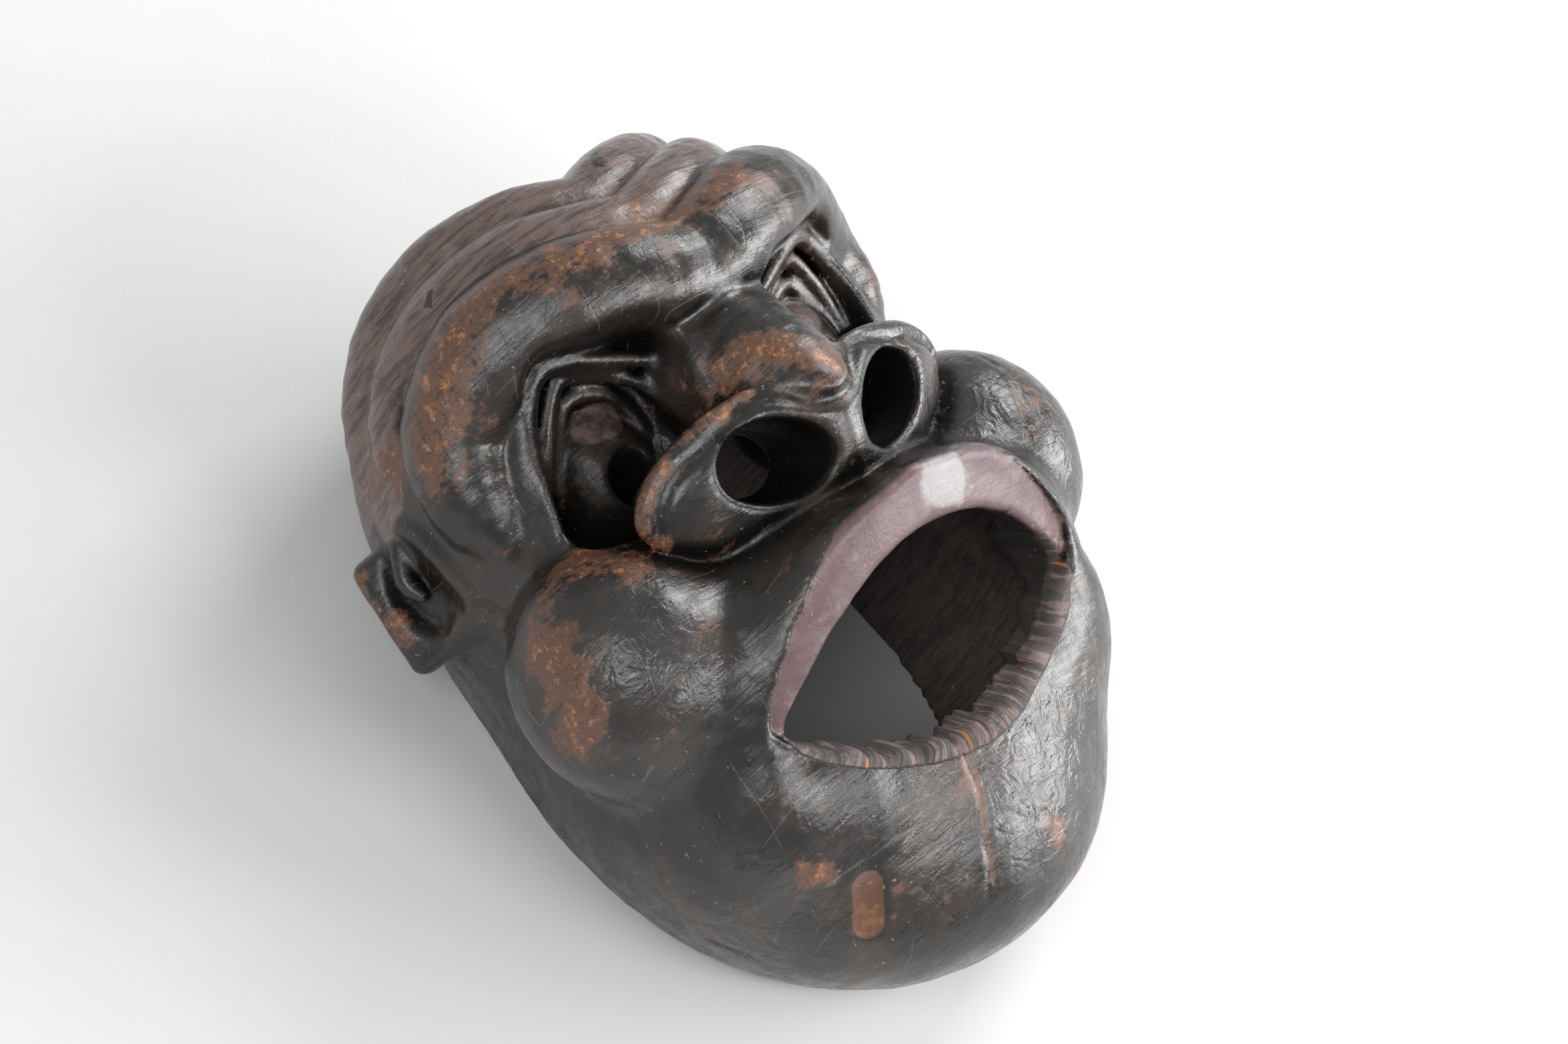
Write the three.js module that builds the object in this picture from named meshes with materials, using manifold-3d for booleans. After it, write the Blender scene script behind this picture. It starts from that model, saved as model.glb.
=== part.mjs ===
// A carved wooden mask: one hollow piece with three brow rolls, puffed cheeks and a howling mouth.
// Millimetres. X runs across the face, Y up to the crown and Z out of the face.
// The mask lies on its flat rim, which is at Z = 0.
//
// The form is a field: a function of a point that is negative inside the wood.
// Simple solids are blended into the field, and one closed surface is then laid over it.

import * as THREE from "three";
import Module from "manifold-3d";

// Driving dimensions
const WALL = 11;                 // thickness of the wood behind the broad forms
const THINNEST = 9;              // wood left behind the carving
const GRID = 3;                  // spacing of the surface's first net
const TRIANGLES = 9300;          // faces left after the net is thinned
const BELOW_RIM = 6;             // waste under the rim, sawn off flat at the end
const MIDDLE = 8.4;              // moves the mask along Y, so that its middle is at the origin
const LOW = [-129, -174, -BELOW_RIM - GRID];
const HIGH = [129, 147, 180];

// The broad forms: centre, radii (across, along, out, and in where it differs), and the width
// of the fillet that joins each to the forms before it
const SKULL = { centre: [0, 50, 60], radii: [98, 92, 85] };
const SIDES = { centre: [0, -22, 50], radii: [87, 108, 70, 190], fillet: 24 };
const JAW = { centre: [0, -64, 45], radii: [95, 95, 54, 72], fillet: 25 };
const JOWL = { centre: [59, -78, 70], radii: [34, 31, 33], fillet: 22 };
const CHEEK = { centre: [80, -26, 86], radii: [38, 42, 40], fillet: 10 };
const MUZZLE = { centre: [0, -48, 98], radii: [72, 36, 50], fillet: 18 };
const SOFT_MIDDLE = 2;           // keeps paired forms from meeting in a crease

// Rolls and ridges of one side: points across, along and out, each with its radius
const FRONT_ROLL = [[0, 62, 142, 17], [18, 66, 143, 19], [42, 73, 137, 21], [63, 76, 120, 22],
  [79, 67, 101, 19], [85, 50, 92, 16], [83, 35, 88, 11]];
const MIDDLE_ROLL = [[0, 85, 135, 14], [20, 91, 134, 14], [42, 98, 125, 15], [62, 99, 104, 15],
  [78, 88, 81, 13], [86, 68, 62, 6]];
const BACK_ROLL = [[0, 105, 122, 14], [20, 112, 120, 14], [42, 117, 109, 14], [60, 115, 87, 14],
  [74, 102, 66, 12], [83, 84, 48, 6]];
const LIP = [[0, -46, 151, 11], [30, -49, 142, 12], [53, -56, 120, 12], [68, -66, 104.5, 9],
  [73, -79, 91, 6]];
const ROLL_FILLET = 3;
const BACK_FILLET = 5;
const LIP_FILLET = 14;

// The eye of one side: a socket with a leaning floor, three stepped ridges round the eyeball,
// and a pierced hole below the eye
const SOCKET = { centre: [50, 29, 128], half: [27, 31, 37], corner: 11,
  turns: [["z", 13], ["x", 14], ["y", 12]] };
const SOCKET_FLOOR = { point: [52, 59, 118], normal: [0.243, -0.569, 0.785] };
const EYEBALL = { centre: [46, 36, 91], radii: [20, 27, 24] };
const LEDGE = [[22, 47, 127, 2], [32, 52, 128, 3], [46, 58.5, 128.5, 3.5], [57, 62.5, 128, 4],
  [64, 60, 123, 4], [70, 52, 116, 4], [75, 42, 108, 4], [77, 33, 100, 3]];
const UPPER_LID = [[24, 42, 119, 2], [31, 48, 121.5, 2.5], [41, 55, 123, 3], [51, 58, 123, 3],
  [56, 56.5, 120.5, 3], [61, 51, 114.5, 3], [66, 43, 107, 3], [69, 36, 101, 2.5]];
const INNER_LID = [[30, 36, 108, 2.5], [33, 43, 112.5, 3], [39, 49.5, 116, 3], [46, 53, 116.5, 3.5],
  [52, 53, 115, 3], [57, 48.5, 110, 3], [62, 42, 104, 3], [65, 33, 97, 2.5]];
const EYE_HOLE = [[46, 21, 121, 8], [45, 24, 101, 8.5], [44, 26.5, 75, 9]];
const SOCKET_EDGE = 4;
const EYE_FILLET = 3;

// The nose, with one of its wings and nostrils
const BRIDGE = [[0, 52, 106, 24], [0, 36, 124, 25], [0, 17, 138, 21.5], [0, 3, 147, 15]];
const WING = { centre: [14, -8.5, 135.5], radii: [57, 13, 26.5], turns: [["x", -46.5], ["z", 15.5]] };
const NOSTRIL = [[19.3, -23, 161.5, 14.5], [19.3, -10.4, 144.7, 13.5], [18.5, 2, 128, 12.5],
  [17, 12, 108, 11], [16, 16, 85, 10]];
const NOSTRIL_WIDER = 0.73;      // the nostril is wider across than along
const NOSTRIL_SLANT = { from: 26.4, rise: 0.324, fall: 0.154 };  // and leans back outwards
const BRIDGE_FILLET = 5;
const WING_FILLET = 2.5;

// The ear of one side: a slab with a hollow and a ridge in it
const EAR_TURNS = [["y", -38], ["x", 8]];
const EAR = { centre: [95, 45, 48], half: [6, 22, 17], corner: 5, turns: EAR_TURNS };
const EAR_BOWL = { centre: [100.5, 45, 53], radii: [6, 17, 9], turns: EAR_TURNS };
const EAR_RIDGE = [[97, 60, 58, 3.5], [101, 50, 55, 4], [100, 42, 56, 3]];
const EAR_FILLET = 4;
const EAR_EDGE = 3;

// The mouth lies in a leaning plane: "up" runs along it, "out" away from it
const MOUTH_LEAN = THREE.MathUtils.degToRad(46.4);
const MOUTH_CORNER = 25;         // level of the corners along the plane
const BAND_BELOW = 3;            // the flat band ends this far below the corners
const LIP_EDGE = { half: 78, over: 67, under: 0, power: 2.2, corner: 26 };
const OPENING = { half: 68, over: 43, under: 26, power: 2, corner: 14 };
const OUTLINE_SLOPE = 0.75;      // turns a height above the outline into a distance from it
const FARTHEST = 1.6;            // half widths over which the outline is followed
const LIP_OUT = 140;             // the lip band's height at the middle
const LIP_FALL = 13 / 70 ** 2;   // how fast the band falls back to the corners
const MOUTH_FLOOR = 60;          // the cut ends inside the hollow
const BAND_EDGE = 3;
const HOLE_EDGE = 4;
const HOLLOW_EDGE = 2;
const HOLLOW_FILLET = 12;

// Outside these distances from the head no carving is worked out
const CLEAR_OUTSIDE = 45;
const CLEAR_INSIDE = 60;

const ROD_STEPS = 3;             // straight pieces between two points of a rod
const WOOD = new THREE.MeshStandardMaterial({ color: 0x2a2421, roughness: 0.42, metalness: 0 });

// Joins two solids with a fillet of about the given width
function blend(a, b, width) {
  const h = Math.max(width - Math.abs(a - b), 0) / width;
  return Math.min(a, b) - h * h * width * 0.25;
}

// Keeps what two solids share, with a rounded edge
function overlap(a, b, width) {
  return -blend(-a, -b, width);
}

// Takes the second solid out of the first
function carve(a, b, width) {
  return overlap(a, -b, width);
}

// Turns an offset into a solid's own axes
function turned(offset, turns) {
  for (const [axis, degrees] of turns) {
    const c = Math.cos(THREE.MathUtils.degToRad(degrees));
    const s = Math.sin(THREE.MathUtils.degToRad(degrees));
    const [x, y, z] = offset;
    if (axis === "x") {
      offset = [x, c * y + s * z, c * z - s * y];
    } else if (axis === "y") {
      offset = [c * x - s * z, y, s * x + c * z];
    } else {
      offset = [c * x + s * y, c * y - s * x, z];
    }
  }
  return offset;
}

function ellipsoid({ centre, radii, turns = [] }) {
  const [rx, ry, outward, inward = outward] = radii;
  return (x, y, z) => {
    const [dx, dy, dz] = turned([x - centre[0], y - centre[1], z - centre[2]], turns);
    const rz = dz > 0 ? outward : inward;
    const scaled = Math.hypot(dx / rx, dy / ry, dz / rz);
    const slope = Math.hypot(dx / rx ** 2, dy / ry ** 2, dz / rz ** 2);
    return scaled * (scaled - 1) / Math.max(slope, 1e-6);
  };
}

function roundedBlock({ centre, half, corner, turns }) {
  return (x, y, z) => {
    const offset = turned([x - centre[0], y - centre[1], z - centre[2]], turns);
    const q = offset.map((value, i) => Math.abs(value) - half[i] + corner);
    const outside = Math.hypot(Math.max(q[0], 0), Math.max(q[1], 0), Math.max(q[2], 0));
    return outside + Math.min(Math.max(...q), 0) - corner;
  };
}

// The space above a leaning plane
function above({ point, normal }) {
  return (x, y, z) => -normal[0] * (x - point[0]) - normal[1] * (y - point[1]) - normal[2] * (z - point[2]);
}

// A rod of changing radius along a smooth line through the points
function rod(points) {
  const line = new THREE.CatmullRomCurve3(points.map((p) => new THREE.Vector3(p[0], p[1], p[2])));
  const stations = [];
  const steps = ROD_STEPS * (points.length - 1);
  for (let i = 0; i <= steps; i++) {
    const at = line.getPoint(i / steps);
    const span = Math.min(Math.floor(i / ROD_STEPS), points.length - 2);
    const radius = THREE.MathUtils.lerp(points[span][3], points[span + 1][3], i / ROD_STEPS - span);
    stations.push([at.x, at.y, at.z, radius]);
  }
  const rods = stations.slice(1).map((b, i) => {
    const a = stations[i];
    const d = [b[0] - a[0], b[1] - a[1], b[2] - a[2]];
    return { a, d, grow: b[3] - a[3], length2: d[0] ** 2 + d[1] ** 2 + d[2] ** 2 };
  });
  return (x, y, z) => {
    let nearest = Infinity;
    for (const { a, d, grow, length2 } of rods) {
      const px = x - a[0];
      const py = y - a[1];
      const pz = z - a[2];
      const t = Math.min(Math.max((px * d[0] + py * d[1] + pz * d[2]) / length2, 0), 1);
      const away = Math.sqrt((px - t * d[0]) ** 2 + (py - t * d[1]) ** 2 + (pz - t * d[2]) ** 2);
      nearest = Math.min(nearest, away - a[3] - t * grow);
    }
    return nearest;
  };
}

const skull = ellipsoid(SKULL);
const sides = ellipsoid(SIDES);
const jaw = ellipsoid(JAW);
const jowl = ellipsoid(JOWL);
const cheek = ellipsoid(CHEEK);
const muzzle = ellipsoid(MUZZLE);
const backRoll = rod(BACK_ROLL);
const frontRolls = [rod(MIDDLE_ROLL), rod(FRONT_ROLL)];
const lip = rod(LIP);
const socket = roundedBlock(SOCKET);
const socketFloor = above(SOCKET_FLOOR);
const eyeball = ellipsoid(EYEBALL);
const eyeRidges = [rod(LEDGE), rod(UPPER_LID), rod(INNER_LID)];
const eyeHole = rod(EYE_HOLE);
const bridge = rod(BRIDGE);
const wing = ellipsoid(WING);
const nostrilRod = rod(NOSTRIL);
const earSlab = roundedBlock(EAR);
const earBowl = ellipsoid(EAR_BOWL);
const earRidge = rod(EAR_RIDGE);

// The head without its features
function head(x, y, z) {
  const side = Math.hypot(x, SOFT_MIDDLE);
  let d = blend(skull(x, y, z), sides(x, y, z), SIDES.fillet);
  d = blend(d, jaw(x, y, z), JAW.fillet);
  d = blend(d, jowl(side, y, z), JOWL.fillet);
  d = blend(d, cheek(side, y, z), CHEEK.fillet);
  return blend(d, muzzle(x, y, z), MUZZLE.fillet);
}

function ear(side, y, z) {
  return blend(carve(earSlab(side, y, z), earBowl(side, y, z), EAR_EDGE), earRidge(side, y, z), EAR_EDGE);
}

// Cuts the socket and builds the eye up in it
function eye(d, side, y, z) {
  d = carve(d, overlap(socket(side, y, z), socketFloor(side, y, z), SOCKET_EDGE), SOCKET_EDGE);
  d = blend(d, eyeball(side, y, z), EYE_FILLET);
  for (const ridge of eyeRidges) {
    d = blend(d, ridge(side, y, z), EYE_FILLET);
  }
  return carve(d, eyeHole(side, y, z), EYE_FILLET);
}

// Brow rolls, lip, ears, eyes and nose on the head
function features(d, x, y, z) {
  const side = Math.hypot(x, 1);
  d = blend(d, backRoll(side, y, z), BACK_FILLET);
  for (const roll of frontRolls) {
    d = blend(d, roll(side, y, z), ROLL_FILLET);
  }
  d = blend(d, lip(side, y, z), LIP_FILLET);
  d = blend(d, ear(side, y, z), EAR_FILLET);
  d = eye(d, side, y, z);
  d = blend(d, bridge(x, y, z), BRIDGE_FILLET);
  return blend(d, wing(side, y, z), WING_FILLET);
}

function nostril(x, y, z) {
  const side = Math.hypot(x, 1);
  const outer = side - NOSTRIL_SLANT.from;
  return nostrilRod(side * NOSTRIL_WIDER, y - NOSTRIL_SLANT.rise * outer, z + NOSTRIL_SLANT.fall * outer);
}

// How far a point is outside the outline of the lips or of the opening
function outsideOutline(x, up, { half, over, under, power, corner }) {
  const swell = 1 - Math.min(Math.abs(x) / half, FARTHEST) ** power;
  const above = up - MOUTH_CORNER - over * swell;
  const below = MOUTH_CORNER - under * swell - up;
  return OUTLINE_SLOPE * overlap(above, below, corner);
}

// The whole mask as a field
function mask(x, y, z) {
  const broad = head(x, y, z);
  if (broad > CLEAR_OUTSIDE || broad < -CLEAR_INSIDE) {
    return Math.abs(broad);
  }
  const up = y * Math.cos(MOUTH_LEAN) + z * Math.sin(MOUTH_LEAN);
  const out = z * Math.cos(MOUTH_LEAN) - y * Math.sin(MOUTH_LEAN);
  let d = features(broad, x, y, z);
  const hollow = overlap(broad + WALL, d + THINNEST, HOLLOW_FILLET);
  const band = Math.max(outsideOutline(x, up, LIP_EDGE), LIP_OUT - LIP_FALL * x * x - out,
    MOUTH_CORNER - BAND_BELOW - up);
  d = carve(d, band, BAND_EDGE);
  d = carve(d, nostril(x, y, z), HOLE_EDGE);
  d = carve(d, Math.max(outsideOutline(x, up, OPENING), MOUTH_FLOOR - out), HOLE_EDGE);
  d = carve(d, hollow, HOLLOW_EDGE);
  return Math.max(d, -BELOW_RIM - z);
}

// The corners of a cell, bit n of a corner's number being its step along axis n
const CORNERS = [0, 1, 2, 3, 4, 5, 6, 7].map((c) => [c & 1, (c >> 1) & 1, (c >> 2) & 1]);

// Whether the surface passes a cell as one plain sheet, for each pattern of corners inside the wood
const PLAIN = Array.from({ length: 256 }, (_, pattern) => {
  const inside = (c) => (pattern >> c) & 1;
  const pieces = [0, 0];
  const seen = new Set();
  for (const start of CORNERS.keys()) {
    if (!seen.has(start)) {
      pieces[inside(start)]++;
      const open = [start];
      while (open.length) {
        const c = open.pop();
        seen.add(c);
        const beside = [1, 2, 4].map((bit) => c ^ bit);
        open.push(...beside.filter((n) => !seen.has(n) && inside(n) === inside(start)));
      }
    }
  }
  const crossed = [[1, 2], [1, 4], [2, 4]].some(([p, q]) => CORNERS.some((_, c) =>
    inside(c) !== inside(c ^ p) && inside(c) !== inside(c ^ q) && inside(c) === inside(c ^ p ^ q)));
  return pieces[0] <= 1 && pieces[1] <= 1 && !crossed;
});

const JUST_INSIDE = 0.01;

// Fills slits narrower than a cell, so that no two sheets of the surface meet at an edge
function fillSlits(values, size, index) {
  for (let filled = 1; filled;) {
    filled = 0;
    for (let i = 0; i < size[0] - 1; i++) {
      for (let j = 0; j < size[1] - 1; j++) {
        for (let k = 0; k < size[2] - 1; k++) {
          const places = CORNERS.map((c) => index(i + c[0], j + c[1], k + c[2]));
          const pattern = places.reduce((bits, place, c) => bits | (values[place] < 0) << c, 0);
          if (!PLAIN[pattern]) {
            const outside = places.filter((place) => values[place] >= 0);
            const nearest = outside.reduce((a, b) => (values[a] < values[b] ? a : b));
            values[nearest] = -JUST_INSIDE;
            filled++;
          }
        }
      }
    }
  }
}

// Lays a closed net of triangles over the zero surface of a field
function netOver(field, low, high, spacing) {
  const size = low.map((value, i) => Math.ceil((high[i] - value) / spacing) + 1);
  const values = new Float32Array(size[0] * size[1] * size[2]);
  const index = (i, j, k) => (i * size[1] + j) * size[2] + k;
  for (let i = 0; i < size[0]; i++) {
    for (let j = 0; j < size[1]; j++) {
      for (let k = 0; k < size[2]; k++) {
        values[index(i, j, k)] = field(low[0] + i * spacing, low[1] + j * spacing, low[2] + k * spacing);
      }
    }
  }
  fillSlits(values, size, index);
  const vertexOf = new Int32Array(values.length).fill(-1);
  const points = [];
  for (let i = 0; i < size[0] - 1; i++) {
    for (let j = 0; j < size[1] - 1; j++) {
      for (let k = 0; k < size[2] - 1; k++) {
        const crossing = cellCrossing((c) => values[index(i + c[0], j + c[1], k + c[2])]);
        if (crossing) {
          vertexOf[index(i, j, k)] = points.length;
          points.push(crossing.map((part, n) => low[n] + spacing * ([i, j, k][n] + part)));
        }
      }
    }
  }
  const faces = [];
  const axes = [[1, 0, 0], [0, 1, 0], [0, 0, 1]];
  for (let i = 1; i < size[0] - 1; i++) {
    for (let j = 1; j < size[1] - 1; j++) {
      for (let k = 1; k < size[2] - 1; k++) {
        for (let n = 0; n < 3; n++) {
          const [a, b, c] = axes[n];
          const here = values[index(i, j, k)] < 0;
          const there = values[index(i + a, j + b, k + c)] < 0;
          if (here !== there) {
            const u = axes[(n + 1) % 3];
            const v = axes[(n + 2) % 3];
            const at = (p, q) => vertexOf[index(i - p * u[0] - q * v[0], j - p * u[1] - q * v[1],
              k - p * u[2] - q * v[2])];
            const quad = [at(0, 0), at(1, 0), at(1, 1), at(0, 1)];
            if (there) {
              quad.reverse();
            }
            faces.push([quad[0], quad[1], quad[2]], [quad[0], quad[2], quad[3]]);
          }
        }
      }
    }
  }
  return { points, faces };
}

// The mean place, within a cell, where the surface crosses the cell's edges
function cellCrossing(valueAt) {
  const value = CORNERS.map(valueAt);
  const sum = [0, 0, 0];
  let count = 0;
  for (let a = 0; a < 8; a++) {
    for (let bit = 1; bit < 8; bit <<= 1) {
      const b = a | bit;
      if (b !== a && value[a] < 0 !== value[b] < 0) {
        const t = value[a] / (value[a] - value[b]);
        for (let n = 0; n < 3; n++) {
          sum[n] += CORNERS[a][n] + t * (CORNERS[b][n] - CORNERS[a][n]);
        }
        count++;
      }
    }
  }
  return count ? sum.map((part) => part / count) : null;
}

// The squared distance to a triangle's plane, as the ten terms of a symmetric matrix
function planeError(a, b, c) {
  const normal = new THREE.Triangle(a, b, c).getNormal(new THREE.Vector3());
  const area = new THREE.Triangle(a, b, c).getArea();
  const p = [normal.x, normal.y, normal.z, -normal.dot(a)];
  const terms = [];
  for (let i = 0; i < 4; i++) {
    for (let j = i; j < 4; j++) {
      terms.push(area * p[i] * p[j]);
    }
  }
  return terms;
}

function errorAt(q, v) {
  const p = [v.x, v.y, v.z, 1];
  let sum = 0;
  let n = 0;
  for (let i = 0; i < 4; i++) {
    for (let j = i; j < 4; j++) {
      sum += q[n] * p[i] * p[j] * (i === j ? 1 : 2);
      n++;
    }
  }
  return sum;
}

// A list that always gives its cheapest entry first
class Queue {
  constructor() {
    this.items = [];
  }

  push(item) {
    const items = this.items;
    let at = items.push(item) - 1;
    while (at > 0) {
      const parent = (at - 1) >> 1;
      if (items[parent].cost <= items[at].cost) {
        break;
      }
      [items[parent], items[at]] = [items[at], items[parent]];
      at = parent;
    }
  }

  pop() {
    const items = this.items;
    const top = items[0];
    const last = items.pop();
    if (items.length) {
      items[0] = last;
      let at = 0;
      for (;;) {
        let child = 2 * at + 1;
        if (child >= items.length) {
          break;
        }
        if (child + 1 < items.length && items[child + 1].cost < items[child].cost) {
          child++;
        }
        if (items[at].cost <= items[child].cost) {
          break;
        }
        [items[at], items[child]] = [items[child], items[at]];
        at = child;
      }
    }
    return top;
  }
}

const SHORT_FIRST = 1e-4;        // on flat ground the shortest edges are merged first
const LEAST_ALIKE = 0.25;        // a face may not turn by more than this cosine
const LEAST_AREA = 0.02;

// Merges the two ends of the cheapest edges until few enough faces are left
function thinned({ points, faces }, wanted) {
  const at = points.map((p) => new THREE.Vector3(...p));
  const errors = at.map(() => new Array(10).fill(0));
  const around = at.map(() => new Set());
  const age = at.map(() => 0);
  const live = faces.map((face) => face.slice());
  live.forEach((face, f) => {
    const terms = planeError(...face.map((v) => at[v]));
    for (const v of face) {
      around[v].add(f);
      terms.forEach((term, n) => {
        errors[v][n] += term;
      });
    }
  });
  const neighbours = (v) => {
    const found = new Set();
    for (const f of around[v]) {
      live[f].forEach((other) => found.add(other));
    }
    found.delete(v);
    return found;
  };
  const queue = new Queue();
  const offer = (a, b) => {
    const q = errors[a].map((term, n) => term + errors[b][n]);
    const middle = at[a].clone().add(at[b]).multiplyScalar(0.5);
    let best = { cost: Infinity };
    for (const place of [at[a], at[b], middle]) {
      const cost = errorAt(q, place) + SHORT_FIRST * at[a].distanceToSquared(at[b]);
      if (cost < best.cost) {
        best = { cost, place: place.clone(), a, b, q, age: age[a] + age[b] };
      }
    }
    queue.push(best);
  };
  const flips = (v, gone, place) => {
    for (const f of around[v]) {
      if (live[f].includes(gone)) {
        continue;
      }
      const before = live[f].map((n) => at[n]);
      const after = live[f].map((n) => (n === v ? place : at[n]));
      const was = new THREE.Triangle(...before).getNormal(new THREE.Vector3());
      const now = new THREE.Triangle(...after).getNormal(new THREE.Vector3());
      if (was.dot(now) < LEAST_ALIKE || new THREE.Triangle(...after).getArea() < LEAST_AREA) {
        return true;
      }
    }
    return false;
  };
  at.forEach((_, a) => {
    for (const b of neighbours(a)) {
      if (a < b) {
        offer(a, b);
      }
    }
  });
  let count = live.length;
  while (count > wanted && queue.items.length) {
    const { a, b, place, q, age: stamp } = queue.pop();
    if (!around[a].size || !around[b].size || stamp !== age[a] + age[b]) {
      continue;
    }
    const near = neighbours(a);
    const shared = [...neighbours(b)].filter((v) => near.has(v));
    if (shared.length !== 2 || flips(a, b, place) || flips(b, a, place)) {
      continue;
    }
    for (const f of [...around[b]]) {
      if (live[f].includes(a)) {
        live[f].forEach((v) => around[v].delete(f));
        live[f] = null;
        count--;
      } else {
        live[f][live[f].indexOf(b)] = a;
        around[a].add(f);
      }
    }
    around[b].clear();
    at[a] = place;
    errors[a] = q;
    for (const v of neighbours(a)) {
      age[v]++;
    }
    age[a]++;
    const ring = new Set(neighbours(a));
    for (const v of ring) {
      offer(a, v);
      for (const w of neighbours(v)) {
        if (w !== a && (!ring.has(w) || v < w)) {
          offer(v, w);
        }
      }
    }
  }
  return { at, faces: live.filter(Boolean) };
}

// Numbers the used points afresh and makes a solid of them
function toSolid(wasm, { at, faces }) {
  const fresh = new Map();
  const vertProperties = [];
  const triVerts = [];
  for (const v of faces.flat()) {
    if (!fresh.has(v)) {
      fresh.set(v, fresh.size);
      vertProperties.push(at[v].x, at[v].y, at[v].z);
    }
    triVerts.push(fresh.get(v));
  }
  const mesh = new wasm.Mesh({
    numProp: 3,
    vertProperties: new Float32Array(vertProperties),
    triVerts: new Uint32Array(triVerts),
  });
  return new wasm.Manifold(mesh);
}

// The block of waste below the rim
function wasteBlock(wasm) {
  const size = 2 * (HIGH[1] - LOW[1]);
  const box = new THREE.BoxGeometry(size, size, size).translate(0, 0, -size / 2);
  const key = (n) => [0, 1, 2].map((axis) => box.attributes.position.array[3 * n + axis]).join();
  const first = new Map();
  const at = [];
  const indices = [...box.index.array].map((n) => {
    if (!first.has(key(n))) {
      first.set(key(n), at.length);
      at.push(new THREE.Vector3().fromBufferAttribute(box.attributes.position, n));
    }
    return first.get(key(n));
  });
  const faces = [];
  for (let n = 0; n < indices.length; n += 3) {
    faces.push(indices.slice(n, n + 3));
  }
  return toSolid(wasm, { at, faces });
}

// Turns a solid back into a geometry
function toGeometry(solid) {
  const mesh = solid.getMesh();
  const geometry = new THREE.BufferGeometry();
  geometry.setAttribute("position", new THREE.BufferAttribute(mesh.vertProperties, mesh.numProp));
  geometry.setIndex([...mesh.triVerts]);
  geometry.computeVertexNormals();
  return geometry;
}

const wasm = await Module();
wasm.setup();
const carved = toSolid(wasm, thinned(netOver(mask, LOW, HIGH, GRID), TRIANGLES));
const lying = carved.subtract(wasteBlock(wasm));

const wooden = new THREE.Mesh(toGeometry(lying).translate(0, MIDDLE, 0), WOOD);
wooden.name = "mask";

const part = new THREE.Group();
part.add(wooden);

export default part;
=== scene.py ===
# A carved wooden mask lying on its rim, in worn black lacquer, with a broken lower lip.
# The carving is worked out as the solid's is, on a finer net, with tool marks, chips and cracks.
# The form's sizes are millimetres: X across the face, Y to the crown, Z out of the face.

import math

import bpy
import numpy as np
from mathutils import Matrix, Vector


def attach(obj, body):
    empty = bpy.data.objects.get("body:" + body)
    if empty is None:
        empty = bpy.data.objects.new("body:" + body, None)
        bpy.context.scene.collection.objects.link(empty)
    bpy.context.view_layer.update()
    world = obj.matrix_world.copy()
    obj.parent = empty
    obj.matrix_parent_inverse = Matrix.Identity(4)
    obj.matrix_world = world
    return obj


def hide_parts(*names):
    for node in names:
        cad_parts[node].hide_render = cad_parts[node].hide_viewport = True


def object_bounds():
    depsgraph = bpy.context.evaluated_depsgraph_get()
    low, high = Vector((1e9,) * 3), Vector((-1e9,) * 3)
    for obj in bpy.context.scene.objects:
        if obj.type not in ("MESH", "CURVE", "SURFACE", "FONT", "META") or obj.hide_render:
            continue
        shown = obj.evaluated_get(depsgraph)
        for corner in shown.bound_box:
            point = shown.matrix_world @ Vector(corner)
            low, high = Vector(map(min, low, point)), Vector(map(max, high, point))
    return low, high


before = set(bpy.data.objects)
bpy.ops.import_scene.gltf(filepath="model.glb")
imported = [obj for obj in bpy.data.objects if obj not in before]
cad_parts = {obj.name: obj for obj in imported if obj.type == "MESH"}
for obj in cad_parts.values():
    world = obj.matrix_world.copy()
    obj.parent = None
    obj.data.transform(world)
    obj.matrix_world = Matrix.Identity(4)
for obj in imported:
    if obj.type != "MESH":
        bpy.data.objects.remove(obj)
CAD_BOX = [list(corner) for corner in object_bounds()]

# The camera, as the photograph was taken: degrees, metres, and millimetres for the lens
CAMERA_AZIMUTH = -67.70
CAMERA_ELEVATION = 49.42
CAMERA_ROLL = 30.64
CAMERA_TARGET = Vector((0.0184, 0.0045, 0.070))
CAMERA_DISTANCE = 1.1201
CAMERA_LENS = 76.43
CAMERA_SENSOR = 36.0

# The net that carries the carving
MIDDLE = 8.4                     # moves the mask along Y, so that its middle is at the origin
PITCH = 1.3                      # spacing of the net
COARSE = 5                       # net steps in a block that is tested whole
LOW = (-128.7, -171.6, -2.6)
HIGH = (128.7, 150.0, 171.0)
NEAR_BLOCKS = 1.3                # blocks from the surface where each point of the net is tested
TRIANGLES = 194000               # left after thinning
RELIEF_STEPS = 2                 # moves that bring the thinned net back onto the carving
LARGEST_MOVE = 1.0               # of one such step
LEAST_SLOPE = 0.25               # of the field, squared
SLOPE_STEP = 0.4

# How much the fields of both sides are rounded where they meet in the middle
BROAD_ROUNDING = 2
FINE_ROUNDING = 1

# The broad forms: centre, radii (across, along, out, and in where it differs), and the fillet
# to the forms before it
SKULL = ((0, 50, 60), (98, 92, 85))
SIDES = ((0, -22, 50), (87, 108, 70, 190), 24)
JAW = ((0, -64, 45), (95, 95, 54, 72), 25)
JOWL = ((59, -78, 70), (34, 31, 33), 22)
CHEEK = ((80, -26, 86), (38, 42, 40), 10)
MUZZLE = ((0, -48, 98), (72, 36, 50), 18)
WALL = 11                        # between the broad forms and the hollow
THINNEST = 9                     # under a carved part that goes deeper
HOLLOW_FILLET = 12
HOLLOW_EDGE = 2

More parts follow.
